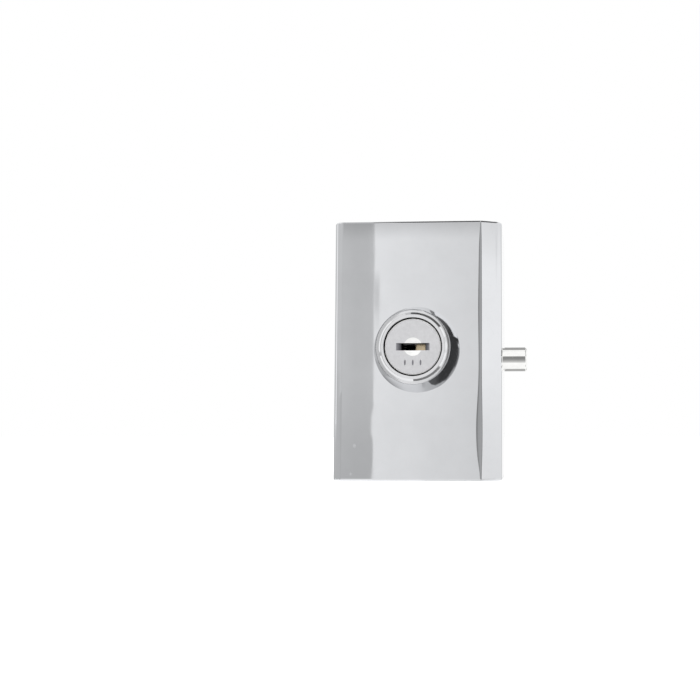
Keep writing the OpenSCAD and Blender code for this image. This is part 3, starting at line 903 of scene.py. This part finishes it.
class LOCK_OT_bolt(bpy.types.Operator):
    """Makes the round bolt and finishes its slide"""

    bl_idname = "lock.bolt"
    bl_label = "Bolt"

    def execute(self, context):
        dress("bolt_pin", "round_bolt", "bolt_nickel", "bolt", 0.08, segments=3)
        dress("bolt_slide", "bolt_carriage", "zinc_cast", "bolt", 0.12)
        return {"FINISHED"}


# Chassis, pads and clamp


class LOCK_OT_chassis(bpy.types.Operator):
    """Finishes the cast chassis, its back plate and their screws"""

    bl_idname = "lock.chassis"
    bl_label = "Chassis"

    def execute(self, context):
        dress("lock_chassis", "cast_chassis", "zinc_cast", "case", 0.12)
        dress("back_plate", "chassis_cover", "plain_steel", "case", 0.08)
        dress("back_plate_screws", "cover_screws", "plain_steel", "case", 0.05)
        return {"FINISHED"}


class LOCK_OT_pads(bpy.types.Operator):
    """Makes the soft pads that the glass lies between"""

    bl_idname = "lock.pads"
    bl_label = "Pads"

    def execute(self, context):
        dress("front_pad", "front_vinyl", "pad_black", "case", 0.25, segments=3)
        dress("edge_pad", "edge_vinyl", "pad_black", "case", 0.25, segments=3)
        dress("clamp_pad", "clamp_vinyl", "pad_black", "clamp", 0.25, segments=3)
        return {"FINISHED"}


class LOCK_OT_clamp(bpy.types.Operator):
    """Makes the clamp plate, its screws and the riveted block they run in"""

    bl_idname = "lock.clamp"
    bl_label = "Clamp"

    def execute(self, context):
        dress("clamp_plate", "clamp_sheet", "plain_steel", "clamp", 0.15)
        dress("screw_block", "threaded_block", "plain_steel", "case", 0.2)
        dress("block_rivets", "rivets", "plain_steel", "case", 0.08)
        dress("clamp_screws", "set_screws", "screw_black", "clamp", 0.08)
        return {"FINISHED"}


# The stage


def glow(name, strength=1.0, along_x=(), along_z=()):
    """A card's light; its stops along X and Z each have a place in millimetres and a factor."""
    material = bpy.data.materials.new(name)
    made = Nodes(material, fresh=True)
    out = made.node("ShaderNodeOutputMaterial")
    emit = made.node("ShaderNodeEmission", {"Strength": strength})
    factors = []
    for axis, stops in (("X", along_x), ("Z", along_z)):
        if stops:
            first, last = stops[0][0], stops[-1][0]
            place = made.along(axis, first * MM, last * MM)
            factors.append(made.ramp(place, *[((at - first) / (last - first), value) for at, value in stops]))
    if len(factors) == 2:
        factors = [made.math("MULTIPLY", *factors)]
    if factors:
        made.wire(factors[0], emit.inputs["Strength"])
    made.wire(emit.outputs["Emission"], out.inputs["Surface"])
    return material


def card(name, corners, material):
    """A flat card beside the set, with corners in millimetres, that only mirrors and gloss see."""
    mesh = bpy.data.meshes.new(name)
    mesh.from_pydata([Vector(c) * MM for c in corners], [], [tuple(range(len(corners)))])
    mesh.materials.append(material)
    made = put(name, mesh)
    made.visible_camera = False
    made.visible_diffuse = False
    made.visible_shadow = False


def upright_card(name, x0, x1, z0, z1, y, material):
    """A card that faces the front of the lock."""
    card(name, [(x0, y, z0), (x1, y, z0), (x1, y, z1), (x0, y, z1)], material)


def level_card(name, x0, x1, y0, y1, z, material):
    """A card above or below the lock."""
    card(name, [(x0, y0, z), (x1, y0, z), (x1, y1, z), (x0, y1, z)], material)


def side_card(name, x, y0, y1, z0, z1, material):
    """A card left or right of the lock."""
    card(name, [(x, y0, z0), (x, y1, z0), (x, y1, z1), (x, y0, z1)], material)


def front_cards():
    """Cards before the lock and around it, which its polished faces mirror; places are in millimetres."""
    away, back = FRONT_Y / MM - 500, 500
    left, edge, right = -400, -119, 600
    low, high, top, ceiling = -75, 320, 600, 450
    step_low, step_high = -93.6, -93.7
    dusk_from, dusk_to, dusk_top, dark_from = -0.5, 324, 155, 142
    black = glow("card_black", 0.05)
    white = glow("card_white")
    # The front plate mirrors a grey stretch on the left and a light one beside it
    light = glow(
        "card_light", along_x=[(step_low, 0.92), (dusk_from, 0.77)],
        along_z=[(-50, 0.95), (-10, 0.965), (30, 1.0), (132, 1.0), (147, 0.72), (153, 1.0)],
    )
    grey = glow(
        "card_grey", along_x=[(edge, 1.06), (-107, 1.0)],
        along_z=[(-50, 0.50), (-10, 0.545), (26, 0.60), (120, 0.58), (132, 0.57), (147, 0.42), (153, 0.58)],
    )
    uneven = [
        (-53, -0.9), (-46, -0.2), (-36, 0.2), (-27, 0.5), (-23, 0.3), (-18, -0.7), (-12, -0.9), (-5, -0.9),
        (-2, -0.4), (3, 0.5), (12, 0.2), (50, 0.0), (85, -0.2), (120, 0.0),
    ]
    step = [(step_low, away, low)]
    for z, off in uneven:
        step.append((step_low + (step_high - step_low) * (z - low) / (high - low) + off, away, z))
    step.append((step_high, away, high))
    card("light_card", [*step, (dusk_from, away, high), (dusk_from, away, low)], light)
    card("grey_card", [*step, (edge, away, high), (edge, away, low)], grey)
    shade_from, shade_to = step_low + 0.3, step_low + 4.4
    beside = glow(
        "card_shade", along_x=[(shade_from, 1.0), (shade_to, 0.94)],
        along_z=[(62, 0.92), (72, 0.84), (81, 0.73), (93, 0.71), (100, 0.80), (108, 0.92)],
    )
    upright_card("shade_card", shade_from, shade_to, 62, 108, away + 1, beside)
    # The left fold and the left of the collar mirror the stretch beyond
    beside_low = glow(
        "card_beside_low", along_x=[(left, 0.54), (-230, 0.53), (-175, 0.48), (-150, 0.51), (edge, 0.56)]
    )
    beside_high = glow("card_beside_high", along_x=[(left, 0.66), (-200, 0.62), (edge, 0.59)])
    upright_card("beside_low", left, edge, low, 15, away, beside_low)
    upright_card("beside_high", left, edge, 15, high, away, beside_high)
    side = glow("card_side", along_z=[(-40, 0.54), (5, 0.56), (40, 0.64)])
    side_card("left_card", left, away, -40, -200, high, side)
    side_card("left_back", left, 80, back, -200, high, side)
    gap = glow("card_gap", along_z=[(-50, 0.52), (-24, 0.60), (-12, 0.85)])
    side_card("left_gap", left, -40, 80, -60, -12, gap)
    # The crease and the right of the collar mirror a dark stretch, and the strip a light one
    dusk = glow("card_dusk", along_x=[
        (dusk_from, 0.54), (14, 0.39), (40, 0.39), (116, 0.44), (dark_from, 0.05), (dusk_to, 0.04),
    ])
    upright_card("dusk_card", dusk_from, dusk_to, low, dusk_top, away, dusk)
    round_field = [
        (28, dusk_top), (28, 190), (50, 203), (96, 216), (140, 214), (188, 200), (230, 170), (264, 140),
        (320, 100), (350, 60), (362, 0), (362, -60), (345, -122), (318, -172), (288, -226), (250, -272),
        (190, -300), (130, -312), (88, -290), (58, -235), (50, -150), (47, low), (dark_from, low),
        (dark_from, dusk_top),
    ]
    dark = glow("card_dark", along_x=[(60, 0.13), (120, 0.11), (175, 0.05)])
    card("dark_card", [(x, away + 0.5, z) for x, z in round_field], dark)
    strip = glow(
        "card_strip", along_z=[(-40, 0.88), (41, 1.0), (120, 1.0), (131, 0.99), (152, 0.93), (170, 0.85)]
    )
    upright_card("strip_card", dusk_to, right, low, 270, away, strip)
    side_card("right_card", right, away, back, low, 270, strip)
    under = glow("card_under", along_x=[
        (-240, 0.36), (-216, 0.50), (-197, 0.64), (-160, 0.80), (-130, 0.85), (-70, 0.85), (-20, 0.78),
        (20, 0.64), (60, 0.60), (200, 0.56), (330, 0.50),
    ])
    upright_card("under_card", left, 420, -380, low, away, under)
    # Overhead it is dark, apart from a white lane for the bolt
    lane_from, lane_to, behind_to = -1, 48, 28
    band = glow(
        "card_band", along_z=[(-300, 0.62), (-180, 0.45), (-89, 0.34), (-2, 0.26), (84, 0.23), (236, 0.27)]
    )
    upright_card("bolt_band", lane_from, behind_to, -300, 240, away + 1, band)
    upright_card("head_far", left, step_low, high, top, away, glow("card_mid", 0.28))
    upright_card("head_left", step_low, lane_from, high, top, away, black)
    upright_card("head_lane", lane_from, lane_to, 240, top, away, white)
    upright_card("head_right", lane_to, 800, high, top, away, black)
    dim_black = glow("card_dim_black", 0.12)
    for name, x0, x1, y0, y1, glowing in (
        ("ceiling_far", left, -150, away, back, glow("card_pale", 0.85)),
        ("ceiling_left", -150, -80, away, back, glow("card_soft", 0.62)),
        ("ceiling_dark", -80, lane_from, away, back, dim_black),
        ("ceiling_lane", lane_from, lane_to, away, -60, white),
        ("ceiling_over", lane_from, lane_to, -60, 30, black),
        ("ceiling_back", lane_from, lane_to, 30, back, glow("card_dim", 0.36)),
        ("ceiling_right", lane_to, 200, away, back, dim_black),
        ("ceiling_end", 200, 456, away, 150, dim_black),
    ):
        level_card(name, x0, x1, y0, y1, ceiling, glowing)
    # White cards above and below the bolt, and grey far behind it
    near_from, near_to = CASE_HIGH[0] / MM - 2, CASE_HIGH[0] / MM + 8
    level_card("bolt_top", near_from, near_to, -10.6, -1.9, 34, white)
    level_card("bolt_under", near_from, near_to, -18, 4, -33, white)
    behind = glow("card_behind", along_z=[(-10, 0.42), (10, 0.30)])
    upright_card("bolt_behind", lane_from, behind_to, -400, ceiling, back, behind)
    level_card("bolt_floor", lane_from, behind_to, 140, back, -400, behind)
    # The back of the case mirrors a wide banded flag
    flag = glow("card_flag", along_x=[
        (-420, 0.95), (-230, 0.66), (-150, 0.84), (-70, 0.72), (-1, 0.40), (28, 0.40), (29.5, 1.0),
        (120, 0.95), (230, 0.60), (320, 0.34), (380, 0.85),
    ])
    upright_card("back_flag", left, right, -250, 420, back + 20, flag)
    # The sloping ring mirrors a dark patch of floor low on the right
    level_card("floor_patch", -30, 440, -115, -30, -300, glow("card_patch", 0.22))


def white_world(ambient):
    """An even white surround: seen as white, and lighting at the given strength."""
    world = bpy.data.worlds.new("studio")
    bpy.context.scene.world = world
    made = Nodes(world, fresh=True)
    out = made.node("ShaderNodeOutputWorld")
    white = (1.0, 1.0, 1.0, 1.0)
    seen = made.node("ShaderNodeBackground", {"Color": white, "Strength": 1.0})
    lit = made.node("ShaderNodeBackground", {"Color": white, "Strength": ambient})
    path = made.node("ShaderNodeLightPath").outputs
    mirrored = made.math("MAXIMUM", path["Is Camera Ray"], path["Is Glossy Ray"])
    shown = made.math("MAXIMUM", mirrored, path["Is Transmission Ray"])
    made.wire(made.either(shown, lit, seen), out.inputs["Surface"])


def pale_floor():
    """A wide pale floor under the lock that keeps its shadow."""
    z = CASE_LOW[2]
    reach = 3.0
    corners = [(-reach, -reach, z), (reach, -reach, z), (reach, reach, z), (-reach, reach, z)]
    mesh = bpy.data.meshes.new("floor")
    mesh.from_pydata(corners, [], [(0, 1, 2, 3)])
    made = Finish("floor_white", 0.0)
    shader = made.shader
    shader.inputs["Base Color"].default_value = (0.9, 0.9, 0.9, 1.0)
    shader.inputs["Roughness"].default_value = 0.8
    shader.inputs["Specular IOR Level"].default_value = 0.0
    emit = made.node("ShaderNodeEmission", {"Strength": 0.5})
    bright = made.node("ShaderNodeAddShader")
    made.wire(shader.outputs[0], bright.inputs[0])
    made.wire(emit.outputs[0], bright.inputs[1])
    path = made.node("ShaderNodeLightPath").outputs
    shown = made.math("MAXIMUM", path["Is Camera Ray"], path["Is Glossy Ray"])
    made.wire(made.either(shown, shader, bright), made.tree.nodes["Material Output"].inputs["Surface"])
    mesh.materials.append(made.material)
    floor = put("floor", mesh)
    floor.visible_glossy = False


def key_light():
    """A large soft lamp before the lock, high on the left, which the polish doesn't mirror."""
    data = bpy.data.lights.new("key", "AREA")
    data.size = 0.3
    data.energy = 1.2
    lamp = put("key", data)
    lamp.location = (-0.25, -0.45, 0.40)
    lamp.rotation_mode = "QUATERNION"
    lamp.rotation_quaternion = (-lamp.location).to_track_quat("-Z", "Y")
    lamp.visible_glossy = False


def set_camera(stage):
    """A camera close to the front, a little right of the cylinder and below it."""
    data = bpy.data.cameras.new("camera")
    camera = put("camera", data)
    camera.location = (stage.camera_right, FRONT_Y - stage.camera_away, -stage.camera_below)
    camera.rotation_euler = (math.pi / 2 + stage.camera_tilt, 0.0, stage.camera_turn)
    data.sensor_width = 36.0
    data.lens = data.sensor_width * stage.camera_away / stage.frame_width
    data.shift_x = -stage.frame_left
    data.shift_y = stage.frame_up
    data.clip_start = 0.01
    data.clip_end = 20.0
    bpy.context.scene.camera = camera


class LOCK_OT_stage(bpy.types.Operator):
    """Sets up the camera, the floor and the studio light"""

    bl_idname = "lock.stage"
    bl_label = "Stage"

    def execute(self, context):
        stage = context.scene.lock_stage
        context.scene.view_settings.view_transform = "Standard"
        set_camera(stage)
        white_world(stage.ambient)
        pale_floor()
        front_cards()
        key_light()
        return {"FINISHED"}


class LOCK_PT_panel(bpy.types.Panel):
    """Lists the lock's pieces"""

    bl_idname = "LOCK_PT_panel"
    bl_label = "Glass door lock"
    bl_space_type = "VIEW_3D"
    bl_region_type = "UI"
    bl_category = "Lock"

    def draw(self, context):
        for operator in ORDER:
            self.layout.operator(operator.bl_idname)


ORDER = (
    LOCK_OT_stage, LOCK_OT_case, LOCK_OT_cylinder, LOCK_OT_plug, LOCK_OT_crank, LOCK_OT_bolt, LOCK_OT_chassis,
    LOCK_OT_pads, LOCK_OT_clamp,
)
GROUPS = {"lock_sizes": LockSizes, "lock_finish": LockFinish, "lock_stage": LockStage}
CLASSES = (*GROUPS.values(), *ORDER, LOCK_PT_panel)


def register():
    for cls in CLASSES:
        bpy.utils.register_class(cls)
    for name, group in GROUPS.items():
        setattr(bpy.types.Scene, name, PointerProperty(type=group))


def unregister():
    for name in GROUPS:
        delattr(bpy.types.Scene, name)
    for cls in reversed(CLASSES):
        bpy.utils.unregister_class(cls)


def main():
    register()
    bpy.ops.lock.stage()
    bpy.ops.lock.case()
    bpy.ops.lock.cylinder()
    bpy.ops.lock.plug()
    bpy.ops.lock.crank()
    bpy.ops.lock.bolt()
    bpy.ops.lock.chassis()
    bpy.ops.lock.pads()
    bpy.ops.lock.clamp()


if __name__ == "__main__":
    main()
